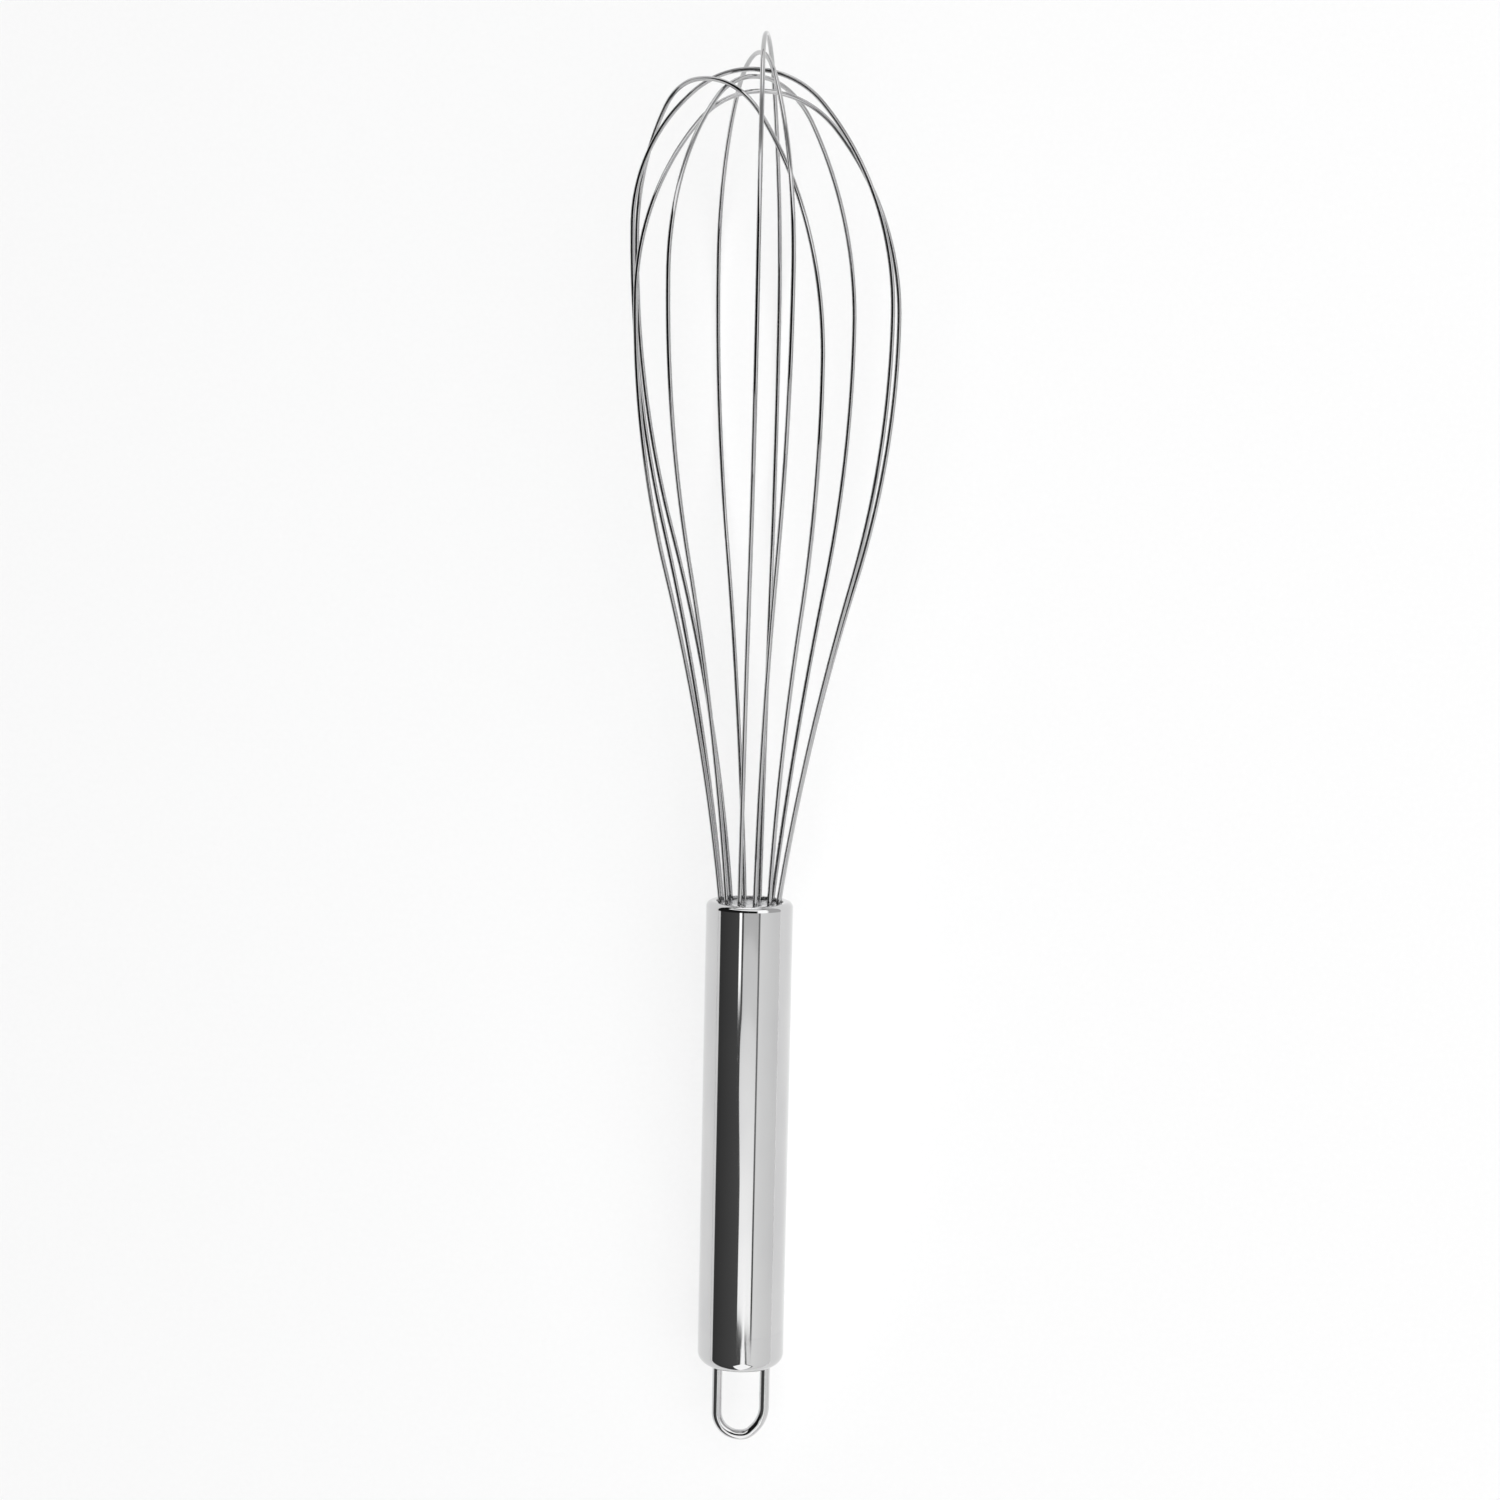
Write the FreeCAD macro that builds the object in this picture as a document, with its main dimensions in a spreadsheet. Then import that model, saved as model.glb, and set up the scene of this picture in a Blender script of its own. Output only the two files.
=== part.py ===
import FreeCAD, Part
import math
import os
import re
from collections import namedtuple

import Sketcher

# Balloon whisk: twelve spring-wire legs (six bent loops) held in a polished steel tube with a wire hanging loop.
# Each piece is built along the whisk's own axis: +Y runs from the handle to the balloon, y = 0 is the plane of the
# tube's rim, +X is to the right and +Z is the upper side. One placement then lays the whole whisk down.

Vector = FreeCAD.Vector
UP = Vector(0, 1, 0)
# A swept wire's volume may differ by this share from its section times its length.
VOLUME_TOLERANCE = 0.003

doc = FreeCAD.newDocument("balloon_whisk")

# ---------------------------------------------------------------- driving dimensions, millimetres and degrees

sheet = doc.addObject("Spreadsheet::Sheet", "Dimensions")
DIMENSIONS = [
    ("handle_length", 103.2, "rim plane to the outside of the end cap"),
    ("handle_radius", 9.5, "tube and cap, outside"),
    ("tube_wall", 0.6, "tube wall thickness"),
    ("rim_opening_radius", 7.25, "opening in the turned-in rim"),
    ("rim_thickness", 0.6, "thickness of the turned-in rim"),
    ("rim_edge_radius", 1.3, "rounding between rim and tube"),
    ("rim_lip_radius", 0.2, "rounding of the opening's edge"),
    ("cap_depth", 8.0, "height of the end cap"),
    ("cap_wall", 0.8, "end cap wall thickness"),
    ("cap_corner_radius", 2.4, "rounded outer corner of the cap"),
    ("weld_width", 0.4, "width of the weld between tube and cap"),
    ("bore_gap", 0.05, "gap between the tube's bore and a piece inside it"),
    ("wire_diameter", 1.0, "balloon wire"),
    ("wire_hole_radius", 0.75, "holes in the wire plate"),
    ("wire_ring_radius", 6.4, "ring of holes in the wire plate"),
    ("wire_ring_turn", 20.0, "angle of the first hole, from +X towards +Z"),
    ("leg_count", 12, "legs, two for each loop"),
    ("wire_plate_depth", 0.65, "rim plane down to the wire plate's face"),
    ("wire_plate_thickness", 1.0, "wire plate"),
    ("plug_thickness", 6.0, "resin plug behind the wire plate"),
    ("plug_channel_radius", 0.52, "channel that the resin leaves round each wire"),
    ("anchor_depth", 24.0, "rim plane down to the anchor plate's face"),
    ("anchor_thickness", 1.5, "anchor plate"),
    ("anchor_ring_radius", 4.6, "ring of holes in the anchor plate"),
    ("anchor_hole_radius", 0.55, "holes in the anchor plate"),
    ("tail_past_anchor", 2.0, "wire end standing past the anchor plate"),
    ("hanger_wire_diameter", 2.2, "wire of the hanging loop"),
    ("hanger_half_width", 5.25, "middle of the loop to the middle of its wire"),
    ("hanger_shift", 0.25, "the loop's middle, off the axis towards +X"),
    ("hanger_reach", 16.8, "outside of the cap to the wire's middle at the far bend"),
    ("hanger_round_bend", 5.2, "bend at the -X side"),
    ("hanger_long_bend", 7.2, "first bend at the +X side"),
    ("hanger_tight_bend", 3.3, "second bend at the +X side"),
    ("hanger_slant", 0.8, "straight between those two bends, which turn 45 degrees each"),
    ("hanger_tail", 3.0, "leg inside the cap, past the cap's floor"),
    ("hanger_hole_radius", 1.15, "holes for the hanging loop's legs"),
    ("backing_radius", 7.1, "plate that backs the hanging loop inside the cap"),
    ("backing_thickness", 1.2, "backing plate"),
    ("weld_bead_radius", 1.55, "bead round each leg of the hanging loop"),
    ("weld_bead_height", 1.0, "bead round each leg of the hanging loop"),
    ("neck_share", 1.25, "share of the outward to the inward arc between neck and belly"),
    ("crown_share", 2.5, "share of the shoulder to the crown arc"),
    ("resting_tilt", 4.95, "the axis rises towards the balloon when the whisk lies down"),
]

# One row for each loop. Right and left are its two legs. An angle is measured round the axis from +X towards +Z.
# reach: axis to the wire at the belly. station: height of the belly above the rim plane.
# flare: how far a leg leans outwards where it leaves its hole. crown: where the loop crosses over the top.
Loop = namedtuple(
    "Loop",
    "right_angle left_angle right_reach left_reach right_station left_station"
    " right_flare left_flare crown_x crown_z crown_y",
)
LOOPS = {
    "wire_loop_1": Loop(-82, 92, 28.2, 29.2, 128, 129, 7.5, 7.5, 0, 0, 185),
    "wire_loop_2": Loop(78, 251, 29.4, 30.7, 132, 142, 3.5, 6.5, -2.5, 0, 181),
    "wire_loop_3": Loop(20, 191, 29.2, 28.8, 126, 146, 8.5, 6, -4, -1, 178),
    "wire_loop_5": Loop(-44, 132, 28.6, 29, 126, 133, 9, 6.5, -0.5, -2.5, 176.6),
    "wire_loop_4": Loop(65, 206, 29.6, 30.8, 114, 145, 7, 5, -15, 1, 175.3),
    "wire_loop_6": Loop(-7, 162, 29.8, 28, 126, 129, 8, 6.5, 0, -0.5, 173.4),
}
# Which hole of the ring takes each loop's right leg. Its left leg goes through the opposite hole.
RIGHT_HOLE = {
    "wire_loop_1": 9,
    "wire_loop_2": 2,
    "wire_loop_3": 0,
    "wire_loop_4": 1,
    "wire_loop_5": 10,
    "wire_loop_6": 11,
}

for row, (alias, value, note) in enumerate(DIMENSIONS, start=1):
    sheet.set(f"A{row}", alias)
    sheet.set(f"B{row}", str(value))
    sheet.set(f"C{row}", note)
    sheet.setAlias(f"B{row}", alias)
row = len(DIMENSIONS) + 1
for loop_name, loop in LOOPS.items():
    for field, value in loop._asdict().items():
        sheet.set(f"A{row}", f"{loop_name} {field}")
        sheet.set(f"B{row}", str(value))
        sheet.setAlias(f"B{row}", f"{loop_name}_{field}")
        row += 1
doc.recompute()


def dim(alias):
    """The value of one cell of the sheet."""
    return float(sheet.get(alias))


def bound(expression):
    """An expression in words turned into one that reads the sheet's cells."""
    return re.sub(r"[a-z][a-z_0-9]*", lambda word: f"Dimensions.{word.group(0)}", expression)


def worth(expression):
    """The number that such an expression stands for."""
    return float(sheet.evalExpression(re.sub(r"[a-z][a-z_0-9]*", lambda word: f".{word.group(0)}", expression)))


# ---------------------------------------------------------------- PartDesign helpers


def new_body(label):
    body = doc.addObject("PartDesign::Body", label)
    body.Label = label
    return body


def new_sketch(body, plane, name):
    """A sketch on one of the body's own origin planes."""
    sketch = body.newObject("Sketcher::SketchObject", name)
    support = next(item for item in body.Origin.OriginFeatures if item.Role == plane)
    sketch.AttachmentSupport = [(support, "")]
    sketch.MapMode = "FlatFace"
    return sketch


def outline(sketch, corners):
    """A closed outline of straight lines. Each corner is a pair of expressions, measured from the sketch's origin."""
    points = [Vector(worth(across), worth(along), 0) for across, along in corners]
    count = len(points)
    for index, point in enumerate(points):
        sketch.addGeometry(Part.LineSegment(point, points[(index + 1) % count]))
    for index in range(count):
        sketch.addConstraint(Sketcher.Constraint("Coincident", index, 2, (index + 1) % count, 1))
    for index, (across, along) in enumerate(corners):
        for kind, expression in (("DistanceX", across), ("DistanceY", along)):
            number = sketch.addConstraint(Sketcher.Constraint(kind, -1, 1, index, 1, worth(expression)))
            sketch.setExpression(f"Constraints[{number}]", bound(expression))


def revolve(body, corners):
    """Turn an outline in the XY plane once round the whisk's axis."""
    sketch = new_sketch(body, "XY_Plane", "profile")
    outline(sketch, corners)
    turned = body.newObject("PartDesign::Revolution", "turned")
    turned.Profile = sketch
    turned.ReferenceAxis = (sketch, ["V_Axis"])
    turned.Angle = 360
    doc.recompute()
    return turned


def circle_edge(feature, radius, height):
    """The name of the circular edge round the axis that has this radius and lies at this height."""
    for number, edge in enumerate(feature.Shape.Edges, start=1):
        curve = edge.Curve
        if isinstance(curve, Part.Circle) and abs(curve.Radius - radius) < 0.01:
            if abs(curve.Center.y - height) < 0.01 and abs(curve.Center.x) < 0.01:
                return f"Edge{number}"
    raise ValueError("no such edge")


def round_edge(body, base, radius, height, size):
    """Round one circular edge, with the size read from the sheet."""
    fillet = body.newObject("PartDesign::Fillet", "rounding")
    fillet.Base = (base, [circle_edge(base, radius, height)])
    fillet.setExpression("Radius", bound(size))
    doc.recompute()
    return fillet


def drill(body, centre_x, radius, depth, length):
    """A round pocket parallel to the axis. It starts at this depth below the rim plane and goes further down."""
    sketch = new_sketch(body, "XZ_Plane", "hole_centre")
    sketch.setExpression(".AttachmentOffset.Base.z", bound(depth))
    sketch.addGeometry(Part.Circle(Vector(worth(centre_x), 0, 0), Vector(0, 0, 1), worth(radius)))
    sketch.addConstraint(Sketcher.Constraint("PointOnObject", 0, 3, -1))
    place = sketch.addConstraint(Sketcher.Constraint("DistanceX", -1, 1, 0, 3, worth(centre_x)))
    sketch.setExpression(f"Constraints[{place}]", bound(centre_x))
    size = sketch.addConstraint(Sketcher.Constraint("Radius", 0, worth(radius)))
    sketch.setExpression(f"Constraints[{size}]", bound(radius))
    hole = body.newObject("PartDesign::Pocket", "hole")
    hole.Profile = sketch
    hole.Reversed = True
    hole.setExpression("Length", bound(length))
    doc.recompute()
    return sketch, hole


def ring_of_holes(body, sketch, hole):
    """Repeat a hole evenly round the axis, once for each leg, starting at the ring's first angle."""
    sketch.setExpression(".AttachmentOffset.Rotation.Angle", bound("wire_ring_turn"))
    pattern = body.newObject("PartDesign::PolarPattern", "ring")
    pattern.Originals = [hole]
    axis = next(item for item in body.Origin.OriginFeatures if item.Role == "Y_Axis")
    pattern.Axis = (axis, [""])
    pattern.Angle = 360
    pattern.setExpression("Occurrences", bound("leg_count"))
    body.Tip = pattern
    doc.recompute()


# ---------------------------------------------------------------- the handle


def make_handle_tube():
    """Seamless tube whose far end is turned in to a flat rim."""
    body = new_body("handle_tube")
    turned = revolve(body, [
        ("rim_opening_radius", "-rim_thickness"),
        ("rim_opening_radius", "0"),
        ("handle_radius", "0"),
        ("handle_radius", "cap_depth + weld_width / 2 - handle_length"),
        ("handle_radius - tube_wall", "cap_depth + weld_width / 2 - handle_length"),
        ("handle_radius - tube_wall", "-rim_thickness"),
    ])
    edge = round_edge(body, turned, dim("handle_radius"), 0, "rim_edge_radius")
    round_edge(body, edge, dim("rim_opening_radius"), 0, "rim_lip_radius")
    return body


def make_end_cap():
    """Drawn cup with a rounded corner and two holes for the hanging loop's legs."""
    body = new_body("end_cap")
    turned = revolve(body, [
        ("0", "-handle_length"),
        ("handle_radius", "-handle_length"),
        ("handle_radius", "cap_depth - weld_width / 2 - handle_length"),
        ("handle_radius - cap_wall", "cap_depth - weld_width / 2 - handle_length"),
        ("handle_radius - cap_wall", "cap_wall - handle_length"),
        ("0", "cap_wall - handle_length"),
    ])
    outside = round_edge(body, turned, dim("handle_radius"), -dim("handle_length"), "cap_corner_radius")
    floor = dim("cap_wall") - dim("handle_length")
    inner_radius = dim("handle_radius") - dim("cap_wall")
    round_edge(body, outside, inner_radius, floor, "cap_corner_radius - cap_wall")
    for centre in ("hanger_shift - hanger_half_width", "hanger_shift + hanger_half_width"):
        drill(body, centre, "hanger_hole_radius", "handle_length - cap_wall * 2", "cap_wall * 3")
    return body


def make_cap_weld():
    """Weld between tube and cap, ground flush."""
    body = new_body("cap_weld")
    revolve(body, [
        ("handle_radius - tube_wall", "cap_depth - weld_width / 2 - handle_length"),
        ("handle_radius", "cap_depth - weld_width / 2 - handle_length"),
        ("handle_radius", "cap_depth + weld_width / 2 - handle_length"),
        ("handle_radius - tube_wall", "cap_depth + weld_width / 2 - handle_length"),
    ])
    return body


def make_ring_plate(label, depth, thickness, ring_radius, hole_radius):
    """Disc across the tube's bore with one hole for each leg."""
    body = new_body(label)
    revolve(body, [
        ("0", f"-{depth} - {thickness}"),
        ("handle_radius - tube_wall - bore_gap", f"-{depth} - {thickness}"),
        ("handle_radius - tube_wall - bore_gap", f"-{depth}"),
        ("0", f"-{depth}"),
    ])
    sketch, hole = drill(body, ring_radius, hole_radius, f"{depth} - {thickness}", f"{thickness} * 3")
    ring_of_holes(body, sketch, hole)
    return body


def make_backing_plate():
    """Disc on the cap's floor that the hanging loop's legs pass through."""
    body = new_body("loop_backing_plate")
    floor = "cap_wall - handle_length"
    revolve(body, [
        ("0", floor),
        ("backing_radius", floor),
        ("backing_radius", f"{floor} + backing_thickness"),
        ("0", f"{floor} + backing_thickness"),
    ])
    above = "handle_length - cap_wall - backing_thickness * 2"
    for centre in ("hanger_shift - hanger_half_width", "hanger_shift + hanger_half_width"):
        drill(body, centre, "hanger_hole_radius", above, "backing_thickness * 3")
    return body


def make_loop_welds():
    """Two weld beads, cones that hold the hanging loop's legs to the backing plate."""
    beads = []
    for name, side in (("left_bead", "-"), ("right_bead", "+")):
        cone = doc.addObject("Part::Cone", f"{name}_cone")
        cone.setExpression("Radius1", bound("weld_bead_radius"))
        cone.setExpression("Radius2", bound("hanger_wire_diameter / 2 + weld_bead_height / 4"))
        cone.setExpression("Height", bound("weld_bead_height"))
        leg = doc.addObject("Part::Cylinder", f"{name}_leg")
        leg.setExpression("Radius", bound("hanger_wire_diameter / 2"))
        leg.setExpression("Height", bound("weld_bead_height"))
        bead = doc.addObject("Part::Cut", name)
        bead.Base = cone
        bead.Tool = leg
        for piece in (cone, leg):
            piece.Placement = FreeCAD.Placement(Vector(), FreeCAD.Rotation(Vector(1, 0, 0), -90))
            piece.setExpression("Placement.Base.x", bound(f"hanger_shift {side} hanger_half_width"))
            piece.setExpression("Placement.Base.y", bound("cap_wall + backing_thickness - handle_length"))
        beads.append(bead)
    welds = doc.addObject("Part::Compound", "loop_welds")
    welds.Label = "loop_welds"
    welds.Links = beads
    doc.recompute()
    return welds


def make_hanging_loop():
    """Thick wire bent to a lopsided U, swept along its middle line."""
    body = new_body("hanging_loop")
    left = dim("hanger_shift") - dim("hanger_half_width")
    right = dim("hanger_shift") + dim("hanger_half_width")
    top = dim("cap_wall") - dim("handle_length") + dim("hanger_tail")
    bottom = -dim("handle_length") - dim("hanger_reach")
    round_bend = dim("hanger_round_bend")
    long_bend = dim("hanger_long_bend")
    tight_bend = dim("hanger_tight_bend")
    slant = Vector(-1, -1, 0).normalize()
    outward = Vector(1, -1, 0).normalize()

    # Middle of each bend's circle, worked out from the right leg round to the bottom.
    slant_turn = math.radians(45)
    long_run = long_bend * math.sin(slant_turn) + dim("hanger_slant") * math.cos(slant_turn)
    tight_run = tight_bend * (1 - math.cos(slant_turn))
    long_middle = Vector(right - long_bend, bottom + tight_run + long_run, 0)
    slant_start = long_middle + outward * long_bend
    slant_end = slant_start + slant * dim("hanger_slant")
    tight_middle = slant_end - outward * tight_bend
    round_middle = Vector(left + round_bend, bottom + round_bend, 0)
    corner_points = [
        Vector(left, top, 0),
        Vector(left, round_middle.y, 0),
        Vector(round_middle.x, bottom, 0),
        Vector(tight_middle.x, bottom, 0),
        slant_end,
        slant_start,
        Vector(right, long_middle.y, 0),
        Vector(right, top, 0),
    ]
    normal = Vector(0, 0, 1)

    def bend(middle, radius, start, turn):
        circle = Part.Circle(middle, normal, radius)
        return Part.ArcOfCircle(circle, math.radians(start), math.radians(start + turn))

    path = new_sketch(body, "XY_Plane", "middle_line")
    path.addGeometry(Part.LineSegment(corner_points[0], corner_points[1]))
    path.addGeometry(bend(round_middle, round_bend, 180, 90))
    path.addGeometry(Part.LineSegment(corner_points[2], corner_points[3]))
    path.addGeometry(bend(tight_middle, tight_bend, 270, 45))
    path.addGeometry(Part.LineSegment(corner_points[4], corner_points[5]))
    path.addGeometry(bend(long_middle, long_bend, 315, 45))
    path.addGeometry(Part.LineSegment(corner_points[6], corner_points[7]))
    for index in range(6):
        starts_at_first_point = 1
        ends_at_second_point = 2
        path.addConstraint(
            Sketcher.Constraint("Tangent", index, ends_at_second_point, index + 1, starts_at_first_point)
        )
    path.addConstraint(Sketcher.Constraint("Vertical", 0))
    path.addConstraint(Sketcher.Constraint("Horizontal", 2))
    path.addConstraint(Sketcher.Constraint("Vertical", 6))
    sizes = [
        (("DistanceX", -1, 1, 0, 1), "hanger_shift - hanger_half_width"),
        (("DistanceY", -1, 1, 0, 1), "cap_wall - handle_length + hanger_tail"),
        (("DistanceX", -1, 1, 6, 2), "hanger_shift + hanger_half_width"),
        (("DistanceY", -1, 1, 6, 2), "cap_wall - handle_length + hanger_tail"),
        (("DistanceY", -1, 1, 2, 1), "-handle_length - hanger_reach"),
        (("Radius", 1), "hanger_round_bend"),
        (("Radius", 3), "hanger_tight_bend"),
        (("Radius", 5), "hanger_long_bend"),
        (("Distance", 4), "hanger_slant"),
    ]
    for what, expression in sizes:
        number = path.addConstraint(Sketcher.Constraint(*what, worth(expression)))
        path.setExpression(f"Constraints[{number}]", bound(expression))

    section = new_sketch(body, "XZ_Plane", "section")
    section.setExpression(".AttachmentOffset.Base.z", bound("handle_length - cap_wall - hanger_tail"))
    section.addGeometry(Part.Circle(Vector(left, 0, 0), normal, worth("hanger_wire_diameter / 2")))
    section.addConstraint(Sketcher.Constraint("PointOnObject", 0, 3, -1))
    place = section.addConstraint(Sketcher.Constraint("DistanceX", -1, 1, 0, 3, left))
    section.setExpression(f"Constraints[{place}]", bound("hanger_shift - hanger_half_width"))
    size = section.addConstraint(Sketcher.Constraint("Diameter", 0, dim("hanger_wire_diameter")))
    section.setExpression(f"Constraints[{size}]", bound("hanger_wire_diameter"))
    doc.recompute()
    pipe = body.newObject("PartDesign::AdditivePipe", "pipe")
    pipe.Profile = section
    pipe.Spine = (path, [f"Edge{number}" for number in range(1, 8)])
    doc.recompute()
    return body


# ---------------------------------------------------------------- the balloon


def polar(radius, angle, height):
    """A point at this radius and angle round the axis, this far above the rim plane."""
    turn = math.radians(angle)
    return Vector(radius * math.cos(turn), height, radius * math.sin(turn))


def arc_edge(start, corner, end):
    """The circular arc that leaves start towards the corner and reaches end from the corner."""
    weight = math.cos((corner - start).getAngle(end - corner) / 2)
    middle = (start + corner * (2 * weight) + end) / (2 + 2 * weight)
    return Part.Arc(start, middle, end).toShape()


def two_arcs(start, leaving, end, arriving, share):
    """Two arcs, tangent where they meet. The first arc's corner lies share times as far out as the second's."""
    across = end - start
    square = 2 * share * (1 - leaving.dot(arriving))
    linear = across.dot(leaving * share + arriving)
    second = (math.sqrt(linear**2 + square * across.dot(across)) - linear) / square
    first = share * second
    first_corner = start + leaving * first
    second_corner = end - arriving * second
    meeting = first_corner + (second_corner - first_corner) * (first / (first + second))
    return [arc_edge(start, first_corner, meeting), arc_edge(meeting, second_corner, end)]


def leg_start(name, side):
    """Where a leg stands in the middle of its hole in the wire plate, and the direction it leaves in."""
    hole_angle = dim("wire_ring_turn") + 360 / dim("leg_count") * RIGHT_HOLE[name]
    if side == "left":
        hole_angle += 180
    middle_of_plate = -dim("wire_plate_depth") - dim("wire_plate_thickness") / 2
    foot = polar(dim("wire_ring_radius"), hole_angle, middle_of_plate)
    belly = polar(dim(f"{name}_{side}_reach"), dim(f"{name}_{side}_angle"), dim(f"{name}_{side}_station"))
    outwards = Vector(belly.x - foot.x, 0, belly.z - foot.z).normalize()
    flare = math.radians(dim(f"{name}_{side}_flare"))
    leaving = outwards * math.sin(flare) + UP * math.cos(flare)
    return hole_angle, foot, belly, leaving


def leg_edges(name, side):
    """The middle line of one leg, from its tail in the handle up to the loop's crown."""
    hole_angle, foot, belly, leaving = leg_start(name, side)
    other = "left" if side == "right" else "right"
    far_belly = leg_start(name, other)[2]
    crossing = Vector(far_belly.x - belly.x, 0, far_belly.z - belly.z).normalize()
    crown = Vector(dim(f"{name}_crown_x"), dim(f"{name}_crown_y"), dim(f"{name}_crown_z"))

    plug_bottom = dim("wire_plate_depth") + dim("wire_plate_thickness") + dim("plug_thickness")
    below_plug = foot - leaving * ((foot.y + plug_bottom) / leaving.y)
    anchor_top = polar(dim("anchor_ring_radius"), hole_angle, -dim("anchor_depth"))
    tail_end = anchor_top - UP * (dim("anchor_thickness") + dim("tail_past_anchor"))

    edges = [Part.LineSegment(tail_end, anchor_top).toShape()]
    edges += two_arcs(anchor_top, UP, below_plug, leaving, 1)
    edges.append(Part.LineSegment(below_plug, foot).toShape())
    edges += two_arcs(foot, leaving, belly, UP, dim("neck_share"))
    edges += two_arcs(belly, UP, crown, crossing, dim("crown_share"))
    return edges


def make_wire_loop(name):
    """One spring wire: two legs and the crown between them."""
    edges = leg_edges(name, "right") + leg_edges(name, "left")
    path = Part.Wire(Part.__sortEdges__(edges))
    start = edges[0].Vertexes[0].Point
    section = Part.Wire(Part.makeCircle(dim("wire_diameter") / 2, start, UP))
    wire = doc.addObject("Part::Feature", name)
    wire.Label = name
    wire.Shape = path.makePipeShell([section], True, False)
    swept = math.pi * dim("wire_diameter") ** 2 / 4 * path.Length
    if abs(wire.Shape.Volume / swept - 1) > VOLUME_TOLERANCE:
        raise ValueError(f"{name} isn't its section times its length")
    return wire


def make_sealing_plug():
    """Resin disc under the wire plate, cast round the slanting legs."""
    disc = doc.addObject("Part::Cylinder", "plug_disc")
    disc.setExpression("Radius", bound("handle_radius - tube_wall - bore_gap"))
    disc.setExpression("Height", bound("plug_thickness"))
    disc.Placement = FreeCAD.Placement(Vector(), FreeCAD.Rotation(Vector(1, 0, 0), 90))
    disc.setExpression("Placement.Base.y", bound("-wire_plate_depth - wire_plate_thickness"))
    channels = []
    for name in LOOPS:
        for side in ("right", "left"):
            foot, leaving = leg_start(name, side)[1::2]
            channel = doc.addObject("Part::Cylinder", f"{name}_{side}_channel")
            channel.setExpression("Radius", bound("plug_channel_radius"))
            channel.setExpression("Height", bound("plug_thickness + wire_plate_thickness * 2"))
            channel.Placement = FreeCAD.Placement(foot, FreeCAD.Rotation(Vector(0, 0, 1), -leaving))
            channels.append(channel)
    bundle = doc.addObject("Part::Compound", "channels")
    bundle.Links = channels
    plug = doc.addObject("Part::Cut", "sealing_plug")
    plug.Label = "sealing_plug"
    plug.Base = disc
    plug.Tool = bundle
    doc.recompute()
    return plug


# ---------------------------------------------------------------- the assembly

pieces = [
    make_handle_tube(),
    make_end_cap(),
    make_cap_weld(),
    make_backing_plate(),
    make_loop_welds(),
    make_hanging_loop(),
    make_ring_plate(
        "wire_plate", "wire_plate_depth", "wire_plate_thickness", "wire_ring_radius", "wire_hole_radius"
    ),
    make_ring_plate(
        "anchor_plate", "anchor_depth", "anchor_thickness", "anchor_ring_radius", "anchor_hole_radius"
    ),
    make_sealing_plug(),
]
pieces += [make_wire_loop(name) for name in LOOPS]
doc.recompute()

# The whisk lies on its handle's end and on its two lowest wires. The origin is on that surface, at the middle of
# the whisk's length and width.
tilted = FreeCAD.Placement(Vector(), FreeCAD.Rotation(Vector(1, 0, 0), dim("resting_tilt")))
extent = FreeCAD.BoundBox()
for piece in pieces:
    laid = piece.Shape.copy()
    laid.Placement = tilted.multiply(laid.Placement)
    extent.add(laid.optimalBoundingBox(False))
to_origin = Vector(-extent.Center.x, -extent.Center.y, -extent.ZMin)
resting = FreeCAD.Placement(to_origin, tilted.Rotation)
for piece in pieces:
    piece.Placement = resting.multiply(piece.Placement)
doc.recompute()

for item in doc.Objects:
    if "Invalid" in item.State or "Error" in item.State:
        raise ValueError(f"{item.Name} failed")
for piece in pieces:
    if piece.Shape.isNull() or not piece.Shape.isValid():
        raise ValueError(f"{piece.Label} has no valid shape")

os.makedirs("parts", exist_ok=True)
for piece in pieces:
    piece.Shape.exportStep(f"parts/{piece.Label}.step")
    print(piece.Label, round(piece.Shape.Volume, 2), len(piece.Shape.Solids))
print("extent", round(extent.XLength, 2), round(extent.YLength, 2), round(extent.ZLength, 2))
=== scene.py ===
import math
from collections import namedtuple

import bpy
from mathutils import Matrix, Vector


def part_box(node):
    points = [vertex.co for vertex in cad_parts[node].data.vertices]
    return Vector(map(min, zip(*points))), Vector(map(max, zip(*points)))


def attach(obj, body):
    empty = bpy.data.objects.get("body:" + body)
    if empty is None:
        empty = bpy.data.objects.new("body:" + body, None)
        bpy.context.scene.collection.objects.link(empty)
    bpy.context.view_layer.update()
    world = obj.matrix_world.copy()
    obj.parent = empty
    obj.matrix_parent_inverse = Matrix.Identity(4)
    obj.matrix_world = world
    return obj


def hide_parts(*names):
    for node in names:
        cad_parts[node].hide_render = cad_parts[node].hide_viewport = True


# The looks of a balloon whisk. Shapes are worked out in millimetres in the whisk's own frame, where +Y runs
# along the axis from the handle to the balloon and y = 0 is the plane of the handle's rim. They are then laid
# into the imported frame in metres.

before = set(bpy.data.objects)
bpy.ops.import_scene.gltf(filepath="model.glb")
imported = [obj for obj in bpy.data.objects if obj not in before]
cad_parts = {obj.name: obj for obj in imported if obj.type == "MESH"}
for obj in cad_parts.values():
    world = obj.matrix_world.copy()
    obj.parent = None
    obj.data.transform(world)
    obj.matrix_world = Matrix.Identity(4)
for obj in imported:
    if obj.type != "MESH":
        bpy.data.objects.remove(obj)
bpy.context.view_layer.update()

MM = 0.001
UP = Vector((0, 1, 0))

# ---------------------------------------------------------------- sizes, millimetres and degrees

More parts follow.
